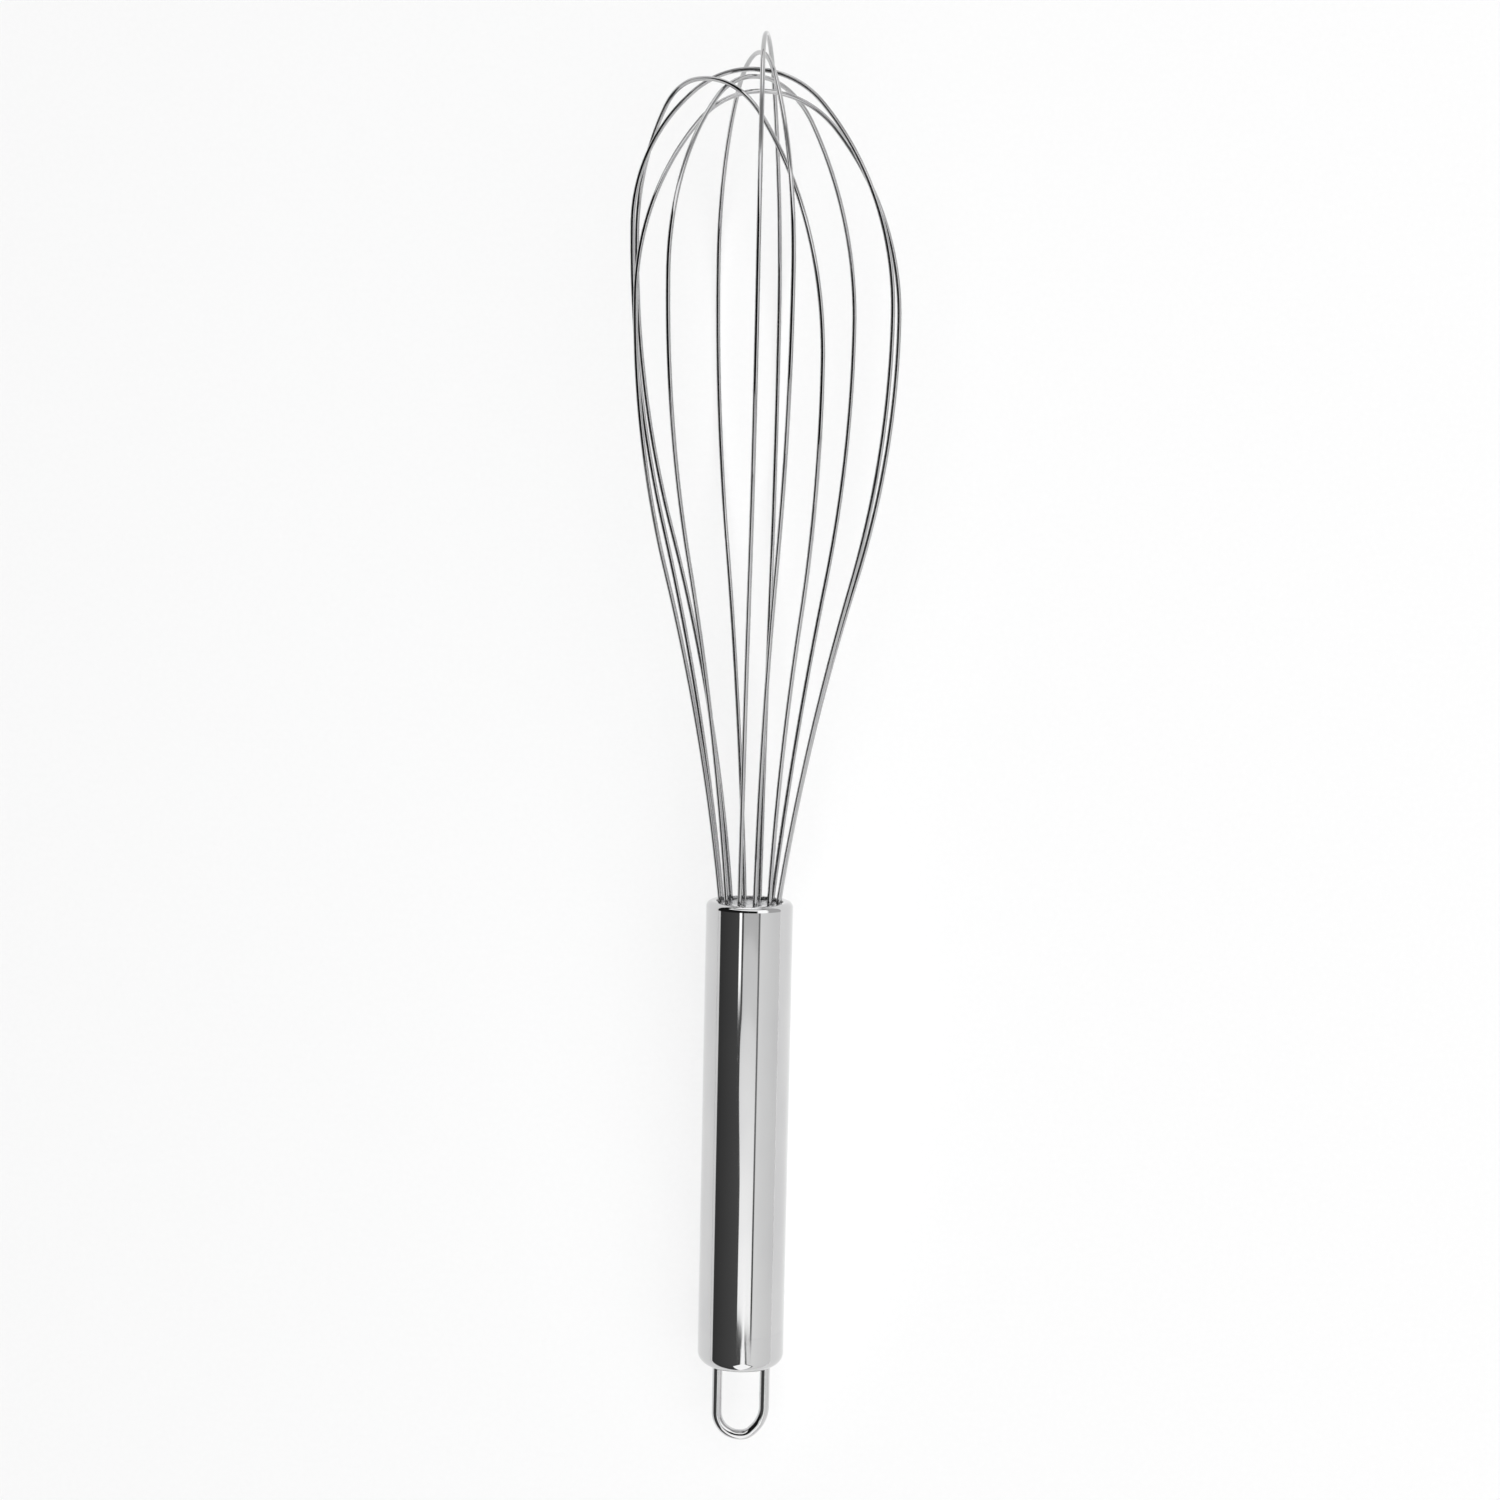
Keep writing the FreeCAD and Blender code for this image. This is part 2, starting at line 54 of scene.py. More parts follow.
RESTING_TILT = 4.95
PLATE_MIDDLE_DEPTH = 1.15
HANDLE_LENGTH = 103.2
HANDLE_RADIUS = 9.5
TUBE_WALL = 0.6
RIM_OPENING_RADIUS = 7.25
RIM_THICKNESS = 0.6
RIM_EDGE_RADIUS = 1.3
RIM_LIP_RADIUS = 0.2
RIM_INNER_RADIUS = 0.1
CAP_DEPTH = 8.0
CAP_WALL = 0.8
CAP_CORNER_RADIUS = 2.4
WELD_WIDTH = 0.4
WIRE_RADIUS = 0.5
WIRE_RING_RADIUS = 6.4
WIRE_RING_TURN = 20.0
WIRE_RING_STEP = 30.0
PLUG_BOTTOM_DEPTH = 7.65
ANCHOR_DEPTH = 24.0
ANCHOR_RING_RADIUS = 4.6
TAIL_LENGTH = 3.5
HANGER_WIRE_RADIUS = 1.1
HANGER_SHIFT = 0.25
HANGER_HALF_WIDTH = 5.25
HANGER_REACH = 16.8
HANGER_ROUND_BEND = 5.2
HANGER_LONG_BEND = 7.2
HANGER_TIGHT_BEND = 3.3
HANGER_SLANT = 0.8
HANGER_TAIL = 3.0

# How two arcs in a row share the way: the tangent length of the first over that of the second.
NECK_SHARE = 1.25
CROWN_SHARE = 2.5

# How finely the round shapes are drawn, and small distances that only the meshes need.
HANDLE_FACETS = 256
WIRE_SIDES = 20
HANGER_SIDES = 40
ROUNDING_STEPS = 12
TAIL_STEPS = 5
NECK_STEPS = 32
CROWN_STEPS = 44
ROUND_BEND_STEPS = 32
TIGHT_BEND_STEPS = 20
LONG_BEND_STEPS = 24
END_GAP = 0.3
AXIS_GAP = 0.01
SHARP_ANGLE = 40.0

# One row for each bent wire, right leg and left leg. Angles go round the axis from +X towards +Z.
# reach: axis to the wire at the belly. station: height of the belly. flare: lean of a leg where it leaves
# the handle.
Loop = namedtuple(
    "Loop",
    "hole right_angle left_angle right_reach left_reach right_station left_station"
    " right_flare left_flare crown_x crown_z crown_y",
)
LOOPS = {
    1: Loop(9, -82, 92, 28.2, 29.2, 128, 129, 7.5, 7.5, 0, 0, 185),
    2: Loop(2, 78, 251, 29.4, 30.7, 132, 142, 3.5, 6.5, -2.5, 0, 181),
    3: Loop(0, 20, 191, 29.2, 28.8, 126, 146, 8.5, 6, -4, -1, 178),
    4: Loop(1, 65, 206, 29.6, 30.8, 114, 145, 7, 5, -15, 1, 175.3),
    5: Loop(10, -44, 132, 28.6, 29, 126, 133, 9, 6.5, -0.5, -2.5, 176.6),
    6: Loop(11, -7, 162, 29.8, 28, 126, 129, 8, 6.5, 0, -0.5, 173.4),
}

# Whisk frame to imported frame. The wire plate is a disc on the axis, so the middle of its box is on the axis.
low, high = (Vector(corner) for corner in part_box("wire_plate"))
to_row = (
    Matrix.Translation((low + high) / 2)
    @ Matrix.Rotation(math.radians(RESTING_TILT), 4, "X")
    @ Matrix.Scale(MM, 4)
    @ Matrix.Translation(UP * PLATE_MIDDLE_DEPTH)
)

# ---------------------------------------------------------------- mesh helpers


def arc_points(start, corner, end, steps):
    """Points on the arc from start to end, without the start. It is tangent to the lines to the corner."""
    weight = math.cos((corner - start).angle(end - corner) / 2)
    points = []
    for step in range(1, steps + 1):
        t = step / steps
        near, mid, far = (1 - t) ** 2, 2 * weight * t * (1 - t), t**2
        points.append((start * near + corner * mid + end * far) / (near + mid + far))
    return points


def add_piece(name, vertices, faces, uvs, material, node):
    """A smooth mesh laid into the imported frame, which stands for one CAD node."""
    mesh = bpy.data.meshes.new(name)
    mesh.from_pydata([to_row @ vertex for vertex in vertices], [], faces)
    layer = mesh.uv_layers.new(name="UVMap")
    for polygon in mesh.polygons:
        for loop_index, uv in zip(polygon.loop_indices, uvs[polygon.index]):
            layer.data[loop_index].uv = uv
    mesh.polygons.foreach_set("use_smooth", [True] * len(mesh.polygons))
    mesh.set_sharp_from_angle(angle=math.radians(SHARP_ANGLE))
    mesh.materials.append(material)
    piece = bpy.data.objects.new(name, mesh)
    bpy.context.collection.objects.link(piece)
    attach(piece, "root")
    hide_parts(node)


def rounded(corners, support):
    """An outline in (radius, height) with each corner rounded by its own radius.

    support: how far from each corner's rounding a further point is added in the straight runs. It keeps the
    smooth shading of the rounding from spreading over them."""
    outline = []
    count = len(corners)
    for index, (radius, height, rounding) in enumerate(corners):
        here = Vector((radius, height))
        before = Vector(corners[index - 1][:2])
        after = Vector(corners[(index + 1) % count][:2])
        to_before = (before - here).normalized()
        to_after = (after - here).normalized()
        start = here + to_before * rounding
        end = here + to_after * rounding
        outline.append(start + to_before * support)
        outline.append(start)
        if rounding:
            outline += arc_points(start, here, end, ROUNDING_STEPS)
        outline.append(end + to_after * support)
    return outline


def lathe(name, outline, material, node):
    """Turn a closed outline round the axis."""
    vertices = []
    faces = []
    uvs = []
    rows = len(outline)
    for turn in range(HANDLE_FACETS):
        angle = 2 * math.pi * turn / HANDLE_FACETS - math.pi / 2
        for radius, height in outline:
            vertices.append(Vector((radius * math.cos(angle), height, radius * math.sin(angle))))
    run = [0.0]
    for here, there in zip(outline, outline[1:] + outline[:1]):
        run.append(run[-1] + (there - here).length)
    arc = 2 * math.pi * HANDLE_RADIUS / HANDLE_FACETS
    for turn in range(HANDLE_FACETS):
        following = (turn + 1) % HANDLE_FACETS
        for row in range(rows):
            ahead = (row + 1) % rows
            faces.append((
                turn * rows + row,
                following * rows + row,
                following * rows + ahead,
                turn * rows + ahead,
            ))
            uvs.append((
                (turn * arc, run[row]),
                ((turn + 1) * arc, run[row]),
                ((turn + 1) * arc, run[row + 1]),
                (turn * arc, run[row + 1]),
            ))
    add_piece(name, vertices, faces, uvs, material, node)


def tube(name, points, radius, material, node, sides):
    """A round wire along a line of points, with flat ends."""
    befores = points[:1] + points[:-1]
    afters = points[1:] + points[-1:]
    ahead = [(after - before).normalized() for before, after in zip(befores, afters)]
    across = ahead[0].orthogonal().normalized()
    vertices = []
    faces = []
    uvs = []
    run = 0.0
    runs = []
    for index, point in enumerate(points):
        if index:
            across = ahead[index - 1].rotation_difference(ahead[index]) @ across
            run += (point - points[index - 1]).length
        runs.append(run)
        side = ahead[index].cross(across)
        for step in range(sides):
            angle = 2 * math.pi * step / sides
            vertices.append(point + (across * math.cos(angle) + side * math.sin(angle)) * radius)
    arc = 2 * math.pi * radius / sides
    for index in range(len(points) - 1):
        for step in range(sides):
            following = (step + 1) % sides
            base = index * sides
            faces.append((base + step, base + following, base + sides + following, base + sides + step))
            uvs.append((
                (step * arc, runs[index]),
                ((step + 1) * arc, runs[index]),
                ((step + 1) * arc, runs[index + 1]),
                (step * arc, runs[index + 1]),
            ))
    last = (len(points) - 1) * sides
    for end in (range(sides - 1, -1, -1), range(last, last + sides)):
        faces.append(tuple(end))
        uvs.append(tuple((0.0, 0.0) for _ in range(sides)))
    add_piece(name, vertices, faces, uvs, material, node)


# ---------------------------------------------------------------- materials


class Nodes:
    """Short forms for building one node tree."""

    def __init__(self, tree):
        self.tree = tree

    def add(self, kind, **settings):
        node = self.tree.nodes.new(kind)
        for key, value in settings.items():
            setattr(node, key, value)
        return node

    def join(self, source, target):
        self.tree.links.new(source, target)

    def math(self, operation, first, second=0.0, third=None):
        node = self.add("ShaderNodeMath", operation=operation)
        for socket, value in zip(node.inputs, (first, second, third)):
            if isinstance(value, bpy.types.NodeSocket):
                self.join(value, socket)
            elif value is not None:
                socket.default_value = value
        return node.outputs[0]

    def spread(self, value, low_in, high_in, low_out, high_out, smooth=False):
        """Map a range of values to another, held at both ends."""
        node = self.add("ShaderNodeMapRange", interpolation_type="SMOOTHSTEP" if smooth else "LINEAR")
        self.join(value, node.inputs["Value"])
        ends = {"From Min": low_in, "From Max": high_in, "To Min": low_out, "To Max": high_out}
        for name, number in ends.items():
            if isinstance(number, bpy.types.NodeSocket):
                self.join(number, node.inputs[name])
            else:
                node.inputs[name].default_value = number
        return node.outputs["Result"]

    def noise(self, coordinates, scale, detail):
        """Noise with a scale for each direction, per millimetre on a UV map and per metre in object space."""
        mapping = self.add("ShaderNodeMapping")
        mapping.inputs["Scale"].default_value = scale
        self.join(coordinates, mapping.inputs["Vector"])
        node = self.add("ShaderNodeTexNoise")
        node.inputs["Scale"].default_value = 1.0
        node.inputs["Detail"].default_value = detail
        self.join(mapping.outputs["Vector"], node.inputs["Vector"])
        return node.outputs["Fac"]

    def grey(self, value, low, high):
        """A grey that follows a value between 0 and 1."""
        ramp = self.add("ShaderNodeValToRGB")
        ramp.color_ramp.elements[0].color = (*low, 1)
        ramp.color_ramp.elements[1].color = (*high, 1)
        ramp.color_ramp.elements[0].position = 0.3
        ramp.color_ramp.elements[1].position = 0.7
        self.join(value, ramp.inputs["Fac"])
        return ramp.outputs["Color"]


def new_material(name, metallic):
    material = bpy.data.materials.new(name)
    material.use_nodes = True
    tree = material.node_tree
    shader = tree.nodes["Principled BSDF"]
    shader.inputs["Metallic"].default_value = metallic
    return material, Nodes(tree), shader


def bump(nodes, shader, height, strength, distance):
    node = nodes.add("ShaderNodeBump")
    node.inputs["Strength"].default_value = strength
    node.inputs["Distance"].default_value = distance
    nodes.join(height, node.inputs["Height"])
    nodes.join(node.outputs["Normal"], shader.inputs["Normal"])


def polished_steel():
    """Mirror-polished tube: hairlines along its length, a few short rubs and a faint haze."""
    material, nodes, shader = new_material("polished_steel", 1.0)
    uv = nodes.add("ShaderNodeTexCoord").outputs["UV"]
    hairlines = nodes.noise(uv, scale=(9.0, 0.12, 1.0), detail=6.0)
    haze = nodes.noise(uv, scale=(0.12, 0.05, 1.0), detail=2.0)
    streaks = nodes.noise(uv, scale=(3.0, 0.35, 1.0), detail=4.0)
    rubs = nodes.spread(streaks, 0.66, 0.72, 0.0, 1.0, smooth=True)
    colour = nodes.grey(haze, low=(0.60, 0.60, 0.605), high=(0.64, 0.64, 0.64))
    nodes.join(colour, shader.inputs["Base Color"])
    clean = nodes.spread(nodes.math("ADD", hairlines, haze), 0.6, 1.4, 0.025, 0.06)
    nodes.join(nodes.math("MULTIPLY_ADD", rubs, 0.05, clean), shader.inputs["Roughness"])
    relief = nodes.math("MULTIPLY_ADD", rubs, -0.5, hairlines)
    bump(nodes, shader, relief, strength=0.015, distance=0.00001)
    return material


def drawn_wire(name, dark, light, rough_low, rough_high, line_scale):
    """Bright drawn wire: lines along it and soft patches of haze."""
    material, nodes, shader = new_material(name, 1.0)
    uv = nodes.add("ShaderNodeTexCoord").outputs["UV"]
    lines = nodes.noise(uv, scale=(line_scale, 0.08, 1.0), detail=3.0)
    patches = nodes.noise(uv, scale=(0.3, 0.10, 1.0), detail=2.0)
    nodes.join(nodes.grey(patches, dark, light), shader.inputs["Base Color"])
    mixed = nodes.math("ADD", lines, patches)
    nodes.join(nodes.spread(mixed, 0.6, 1.4, rough_low, rough_high), shader.inputs["Roughness"])
    bump(nodes, shader, lines, strength=0.05, distance=0.00002)
    return material


def stamped_steel():
    """Unpolished sheet steel with a mill grain."""
    material, nodes, shader = new_material("stamped_steel", 1.0)
    place = nodes.add("ShaderNodeTexCoord").outputs["Object"]
    grain = nodes.noise(place, scale=(300.0, 2500.0, 2500.0), detail=4.0)
    colour = nodes.grey(grain, low=(0.52, 0.52, 0.53), high=(0.60, 0.60, 0.61))
    nodes.join(colour, shader.inputs["Base Color"])
    nodes.join(nodes.spread(grain, 0.3, 0.7, 0.22, 0.34), shader.inputs["Roughness"])
    bump(nodes, shader, grain, strength=0.1, distance=0.00005)
    return material


def cast_resin():
    """Grey epoxy with fine specks."""
    material, nodes, shader = new_material("cast_resin", 0.0)
    place = nodes.add("ShaderNodeTexCoord").outputs["Object"]
    specks = nodes.noise(place, scale=(1800.0, 1800.0, 1800.0), detail=3.0)
    colour = nodes.grey(specks, low=(0.22, 0.23, 0.23), high=(0.34, 0.35, 0.35))
    nodes.join(colour, shader.inputs["Base Color"])
    nodes.join(nodes.spread(specks, 0.3, 0.7, 0.45, 0.65), shader.inputs["Roughness"])
    bump(nodes, shader, specks, strength=0.1, distance=0.00005)
    return material


STEEL = polished_steel()
SPRING_WIRE = drawn_wire(
    "spring_wire",
    dark=(0.43, 0.43, 0.44),
    light=(0.50, 0.50, 0.50),
    rough_low=0.03,
    rough_high=0.07,
    line_scale=6.0,
)
LOOP_WIRE = drawn_wire(
    "loop_wire",
    dark=(0.56, 0.56, 0.57),
    light=(0.64, 0.64, 0.64),
    rough_low=0.04,
    rough_high=0.10,
    line_scale=5.0,
)
STAMPED = stamped_steel()
RESIN = cast_resin()

# ---------------------------------------------------------------- the handle


def make_handle():
    tube_end = CAP_DEPTH + WELD_WIDTH / 2 - HANDLE_LENGTH
    cap_top = CAP_DEPTH - WELD_WIDTH / 2 - HANDLE_LENGTH
    bore = HANDLE_RADIUS - TUBE_WALL
    sleeve = rounded([
        (RIM_OPENING_RADIUS, -RIM_THICKNESS, RIM_INNER_RADIUS),
        (RIM_OPENING_RADIUS, 0, RIM_LIP_RADIUS),
        (HANDLE_RADIUS, 0, RIM_EDGE_RADIUS),
        (HANDLE_RADIUS, tube_end, 0),
        (bore, tube_end, 0),
        (bore, -RIM_THICKNESS, 0),
    ], support=0.1)
    lathe("handle_sleeve", sleeve, STEEL, "handle_tube")
    weld = rounded([
        (HANDLE_RADIUS, tube_end, 0),
        (HANDLE_RADIUS, cap_top, 0),
        (bore, cap_top, 0),
        (bore, tube_end, 0),
    ], support=0.05)
    lathe("seam_weld", weld, STEEL, "cap_weld")
    inside = HANDLE_RADIUS - CAP_WALL
    cup = rounded([
        (AXIS_GAP, CAP_WALL - HANDLE_LENGTH, 0),
        (inside, CAP_WALL - HANDLE_LENGTH, CAP_CORNER_RADIUS - CAP_WALL),
        (inside, cap_top, 0),
        (HANDLE_RADIUS, cap_top, 0),
        (HANDLE_RADIUS, -HANDLE_LENGTH, CAP_CORNER_RADIUS),
        (AXIS_GAP, -HANDLE_LENGTH, 0),
    ], support=0.1)
    lathe("end_cup", cup, STEEL, "end_cap")


def make_hanging_wire():
    """The lopsided U: a round bend at -X, two bends with a short slant between them at +X."""
    left = HANGER_SHIFT - HANGER_HALF_WIDTH
    right = HANGER_SHIFT + HANGER_HALF_WIDTH
    top = CAP_WALL - HANDLE_LENGTH + HANGER_TAIL
    bottom = -HANDLE_LENGTH - HANGER_REACH
    half_turn = math.radians(45)
    reach_of = math.tan(half_turn / 2)
    down_left = Vector((-math.cos(half_turn), -math.sin(half_turn), 0))
    tight_height = HANGER_TIGHT_BEND * (1 - math.cos(half_turn))
    long_height = (HANGER_LONG_BEND + HANGER_SLANT) * math.sin(half_turn)
    points = [Vector((left, top, 0))]
    straight = Vector((left, bottom + HANGER_ROUND_BEND, 0))
    points += line_points(points[-1], straight)
    bend_end = Vector((left + HANGER_ROUND_BEND, bottom, 0))
    points += arc_points(straight, Vector((left, bottom, 0)), bend_end, ROUND_BEND_STEPS)
    long_start = Vector((right, bottom + tight_height + long_height, 0))
    long_corner = long_start - UP * HANGER_LONG_BEND * reach_of
    slant_start = long_corner + down_left * HANGER_LONG_BEND * reach_of
    slant_end = slant_start + down_left * HANGER_SLANT
    tight_corner = slant_end + down_left * HANGER_TIGHT_BEND * reach_of
    tight_end = tight_corner - Vector((HANGER_TIGHT_BEND * reach_of, 0, 0))
    points += line_points(bend_end, tight_end)
    points += arc_points(tight_end, tight_corner, slant_end, TIGHT_BEND_STEPS)
    points += line_points(slant_end, slant_start)
    points += arc_points(slant_start, long_corner, long_start, LONG_BEND_STEPS)
    points += line_points(long_start, Vector((right, top, 0)))
    tube("hanging_wire", points, HANGER_WIRE_RADIUS, LOOP_WIRE, "hanging_loop", HANGER_SIDES)


# ---------------------------------------------------------------- the balloon


def polar(radius, angle, height):
    turn = math.radians(angle)
    return Vector((radius * math.cos(turn), height, radius * math.sin(turn)))


def line_points(start, end):
    """Points on a straight run, without its start, with one close to each end."""
    ahead = (end - start).normalized() * min(END_GAP, (end - start).length / 3)
    return [start + ahead, (start + end) / 2, end - ahead, end]


def two_arcs(start, leaving, end, arriving, share, steps):
    """Points on two arcs that are tangent where they meet, without the start.

    share: the tangent length of the first arc over that of the second."""
    across = end - start
    square = 2 * share * (1 - leaving.dot(arriving))
    linear = across.dot(leaving * share + arriving)
    second = (math.sqrt(linear**2 + square * across.dot(across)) - linear) / square
    first = share * second
    first_corner = start + leaving * first
    second_corner = end - arriving * second
    meeting = first_corner + (second_corner - first_corner) * (first / (first + second))
    points = arc_points(start, first_corner, meeting, steps)
    return points + arc_points(meeting, second_corner, end, steps)


def leg_points(loop, side):
    """The middle line of one leg, from its tail in the handle to the crown."""
    sign = 1 if side == "right" else -1
    hole_angle = WIRE_RING_TURN + WIRE_RING_STEP * loop.hole + (0 if sign > 0 else 180)
    foot = polar(WIRE_RING_RADIUS, hole_angle, -PLATE_MIDDLE_DEPTH)
    bellies = {
        "right": polar(loop.right_reach, loop.right_angle, loop.right_station),
        "left": polar(loop.left_reach, loop.left_angle, loop.left_station),
    }
    belly = bellies[side]
    outwards = belly - foot
    outwards.y = 0
    outwards.normalize()
    flare = math.radians(getattr(loop, f"{side}_flare"))
    leaving = outwards * math.sin(flare) + UP * math.cos(flare)
    crossing = (bellies["left"] - bellies["right"]) * sign
    crossing.y = 0
    crossing.normalize()
    crown = Vector((loop.crown_x, loop.crown_y, loop.crown_z))
    below_plug = foot - leaving * ((foot.y + PLUG_BOTTOM_DEPTH) / leaving.y)
    anchor = polar(ANCHOR_RING_RADIUS, hole_angle, -ANCHOR_DEPTH)

    points = [anchor - UP * TAIL_LENGTH, anchor]
    points += two_arcs(anchor, UP, below_plug, leaving, 1, TAIL_STEPS)
    points += line_points(below_plug, foot)
    points += two_arcs(foot, leaving, belly, UP, NECK_SHARE, NECK_STEPS)
    points += two_arcs(belly, UP, crown, crossing, CROWN_SHARE, CROWN_STEPS)
    return points


def make_balloon_wires():
    for number, loop in LOOPS.items():
        right = leg_points(loop, "right")
        left = leg_points(loop, "left")
        points = right + left[-2::-1]
        name = f"balloon_wire_{number}"
        tube(name, points, WIRE_RADIUS, SPRING_WIRE, f"wire_loop_{number}", WIRE_SIDES)


def dress_cad_nodes():
    looks = {
        "wire_plate": STAMPED,
        "anchor_plate": STAMPED,
        "loop_backing_plate": STAMPED,
        "loop_welds": STAMPED,
        "sealing_plug": RESIN,
    }
    for node, material in looks.items():
        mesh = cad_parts[node].data
        mesh.materials.clear()
        mesh.materials.append(material)


# ---------------------------------------------------------------- studio, metres

FLOOR_HALF_WIDTH = 3.0
FLOOR_DARK = (0.895, 0.895, 0.895)
FLOOR_LIGHT = (0.905, 0.905, 0.905)
BACKDROP_RADIUS = 2.9
BACKDROP_SINK = 0.01
BACKDROP_COLOUR = (0.86, 0.86, 0.865, 1)
KEY_SIZE = 3.0
KEY_WATTS = 19.0
KEY_ACROSS = 0.8
FILL_STRENGTH = 2.17
LAMP_HEIGHT = 1.2
CAMERA_LENS = 57.65
CAMERA_SENSOR = 36.0
CAMERA_FROM_RIM = Vector((-0.63, 32.86, 524.5)) * MM
CAMERA_TURN = 1.19


def make_floor():
    """A wide plain white surface."""
    half = FLOOR_HALF_WIDTH
    mesh = bpy.data.meshes.new("floor")
    corners = [(-half, -half, 0), (half, -half, 0), (half, half, 0), (-half, half, 0)]
    mesh.from_pydata(corners, [], [(0, 1, 2, 3)])
    material, nodes, shader = new_material("floor_white", 0.0)
    place = nodes.add("ShaderNodeTexCoord").outputs["Object"]
    fine = nodes.noise(place, scale=(900.0, 900.0, 900.0), detail=2.0)
    nodes.join(nodes.grey(fine, FLOOR_DARK, FLOOR_LIGHT), shader.inputs["Base Color"])
    shader.inputs["Roughness"].default_value = 0.9
    shader.inputs["Specular IOR Level"].default_value = 0.1
    mesh.materials.append(material)
    floor = bpy.data.objects.new("floor", mesh)
    bpy.context.collection.objects.link(floor)


def make_backdrop():
    """A pale dome that only the camera sees, so that low views end in a plain background."""
    rings = 16
    turns = 48
    vertices = []
    for ring in range(rings + 1):
        rise = math.pi / 2 * ring / rings
        for turn in range(turns):
            angle = 2 * math.pi * turn / turns
            flat = BACKDROP_RADIUS * math.cos(rise)
            height = BACKDROP_RADIUS * math.sin(rise) - BACKDROP_SINK
            vertices.append((flat * math.cos(angle), flat * math.sin(angle), height))
    faces = []
    for ring in range(rings):
        for turn in range(turns):
            following = (turn + 1) % turns
            base = ring * turns
            faces.append((base + turn, base + following, base + turns + following, base + turns + turn))
    mesh = bpy.data.meshes.new("backdrop")
    mesh.from_pydata(vertices, [], faces)
    material = bpy.data.materials.new("backdrop_white")
    material.use_nodes = True
    nodes = Nodes(material.node_tree)
    material.node_tree.nodes.clear()
    glow = nodes.add("ShaderNodeEmission")
    glow.inputs["Color"].default_value = BACKDROP_COLOUR
    nodes.join(glow.outputs["Emission"], nodes.add("ShaderNodeOutputMaterial").inputs["Surface"])
    mesh.materials.append(material)
    dome = bpy.data.objects.new("backdrop", mesh)
    bpy.context.collection.objects.link(dome)
    for ray in ("diffuse", "glossy", "transmission", "shadow", "volume_scatter"):
        setattr(dome, f"visible_{ray}", False)


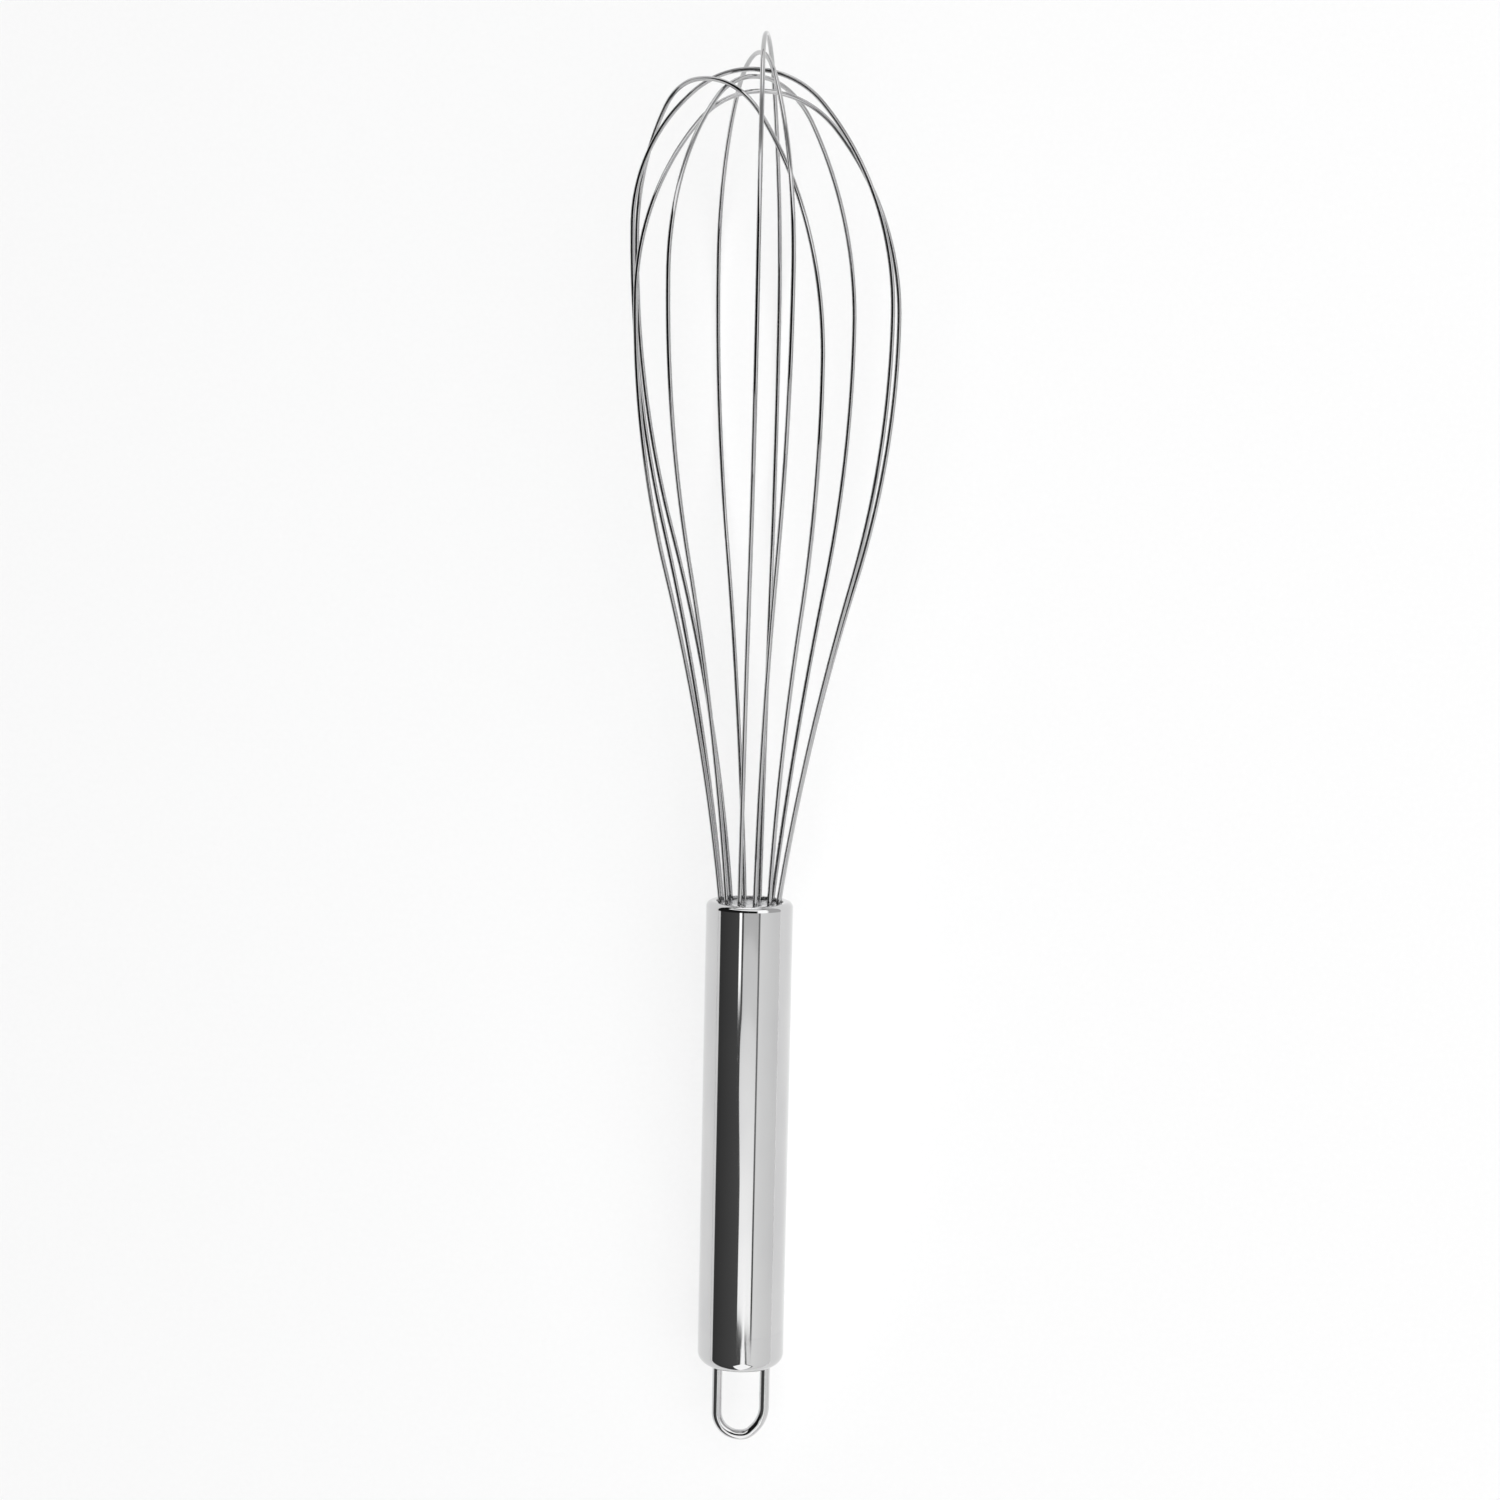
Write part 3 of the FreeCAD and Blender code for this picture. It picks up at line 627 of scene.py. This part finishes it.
def make_room():
    """What the steel reflects: white walls to the right, a dark side to the left and a lit strip overhead.

    side is the angle from overhead towards +X, and back the angle from overhead towards the hanging loop, in
    degrees. Levels are strengths of light: 1 is white, and 0 is black."""
    world = bpy.data.worlds.new("room")
    bpy.context.scene.world = world
    world.cycles_visibility.diffuse = False
    world.use_nodes = True
    world.node_tree.nodes.clear()
    nodes = Nodes(world.node_tree)
    split = nodes.add("ShaderNodeSeparateXYZ")
    nodes.join(nodes.add("ShaderNodeTexCoord").outputs["Generated"], split.inputs["Vector"])
    x, y, z = split.outputs
    side = nodes.math("MULTIPLY", nodes.math("ARCTAN2", x, z), 180 / math.pi)
    back = nodes.math("MULTIPLY", nodes.math("ARCSINE", nodes.math("MULTIPLY", y, -1.0)), 180 / math.pi)
    far_left = -180.0

    def between(low, high, soft=0.8):
        """1 inside a range of side angles, 0 outside it, with soft edges."""
        rising = nodes.spread(nodes.math("SUBTRACT", side, low), -soft, soft, 0.0, 1.0, smooth=True)
        falling = nodes.spread(nodes.math("SUBTRACT", high, side), -soft, soft, 0.0, 1.0, smooth=True)
        return nodes.math("MULTIPLY", rising, falling)

    def over(base, mask, level):
        """Lay a level over what is there, where the mask is 1."""
        change = nodes.math("SUBTRACT", level, base)
        return nodes.math("MULTIPLY_ADD", mask, change, base)

    def passed(first_back, second_back):
        """Goes from 0 to 1 as the back angle goes from the first angle to the second."""
        return nodes.spread(back, first_back, second_back, 0.0, 1.0)

    # The handle shows back angles from about 13 at its rim to 24 at its cap. At the cap the strip is pinched
    # from both sides and opens again. Towards the rim its left edge swings out.
    pinch = nodes.spread(back, 23.1, 23.6, 0.0, 16.5, smooth=True)
    quick_opening = nodes.spread(back, 23.6, 24.0, 0.0, 4.5)
    slow_opening = nodes.spread(back, 24.0, 42.0, 0.0, 23.0)
    inset = nodes.math("SUBTRACT", pinch, nodes.math("ADD", quick_opening, slow_opening))
    swing = over(nodes.spread(back, 17.8, 20.0, -18.0, -11.0), passed(16.6, 16.0), -14.0)
    strip_left = nodes.math("ADD", inset, swing)
    strip_right = nodes.math("SUBTRACT", 25.0, inset)
    line_right = nodes.math("ADD", strip_right, 5.0)
    dark_left = -83.0

    strip_level = nodes.spread(back, 16.2, 23.5, 1.0, 1.45)
    for first_back, second_back, level in ((16.4, 16.0, 0.86), (14.5, 14.2, 0.66), (13.2, 12.8, 0.15)):
        strip_level = over(strip_level, passed(first_back, second_back), level)
    right_wall_level = nodes.spread(side, 34.0, 80.0, 0.98, 0.88)
    left_wall_level = 0.92
    dark_level = nodes.spread(side, -80.0, -15.0, 0.05, 0.09)
    line_level = nodes.spread(back, 18.0, 22.0, 0.22, 0.06)
    gleam_level = 1.7
    light = over(right_wall_level, between(far_left, dark_left, 3.0), left_wall_level)
    light = over(light, between(dark_left, strip_left), dark_level)
    light = over(light, between(strip_right, line_right), line_level)
    light = over(light, between(strip_left, strip_right), strip_level)
    light = over(light, nodes.math("MULTIPLY", between(-26.0, -19.5), passed(16.0, 15.0)), gleam_level)

    # The balloon's wires show the far half of the room, with a wide dark side that narrows at the far end.
    plain_level = 0.55
    lit_level = 1.6
    shade_level = 0.015
    beam_level = 0.3
    far_edge = nodes.spread(back, -34.0, -20.0, -62.0, 21.0)
    far = over(plain_level, between(far_edge, 50.0, 4.0), lit_level)
    far = over(far, between(far_left, far_edge, 2.0), shade_level)
    beam = nodes.math("MULTIPLY", passed(-38.0, -41.0), passed(-60.0, -56.0))
    far = over(far, nodes.math("MULTIPLY", beam, between(-55.0, 55.0)), beam_level)

    # The far half starts past the handle's rim. The handle is tilted, so the border is tilted with it.
    upward = nodes.math("COSINE", nodes.math("MULTIPLY", side, math.pi / 180))
    level_back = nodes.math("ADD", back, nodes.math("MULTIPLY_ADD", upward, -RESTING_TILT, RESTING_TILT))
    light = over(light, nodes.spread(level_back, 12.6, 11.8, 0.0, 1.0), far)

    shine = nodes.add("ShaderNodeBackground")
    nodes.join(light, shine.inputs["Strength"])
    nodes.join(shine.outputs["Background"], nodes.add("ShaderNodeOutputWorld").inputs["Surface"])
    shine.inputs["Color"].default_value = (1, 1, 1, 1)


def make_lights():
    """A very large soft key light at the right and an even fill without shadows. The steel shows neither."""
    key = bpy.data.lights.new("key_light", "AREA")
    key.shape = "SQUARE"
    key.size = KEY_SIZE
    key.energy = KEY_WATTS
    fill = bpy.data.lights.new("fill_light", "SUN")
    fill.energy = FILL_STRENGTH
    fill.use_shadow = False
    fill.cycles.use_multiple_importance_sampling = False
    for data, across in ((key, KEY_ACROSS), (fill, 0.0)):
        lamp = bpy.data.objects.new(data.name, data)
        lamp.location = (across, 0.0, LAMP_HEIGHT)
        lamp.visible_glossy = False
        lamp.visible_camera = False
        bpy.context.collection.objects.link(lamp)


def make_camera():
    """Straight down from above the whisk, with the whisk leaning a little in the picture."""
    rim = to_row @ Vector((0, 0, 0))
    data = bpy.data.cameras.new("camera")
    data.lens = CAMERA_LENS
    data.sensor_width = CAMERA_SENSOR
    data.clip_start = 0.01
    data.clip_end = 20.0
    camera = bpy.data.objects.new("camera", data)
    camera.location = rim + CAMERA_FROM_RIM
    camera.rotation_euler = (0, 0, math.radians(CAMERA_TURN))
    bpy.context.collection.objects.link(camera)
    bpy.context.scene.camera = camera


make_camera()
make_handle()
make_hanging_wire()
make_balloon_wires()
dress_cad_nodes()
make_floor()
make_backdrop()
make_room()
make_lights()
bpy.context.scene.view_settings.view_transform = "Standard"
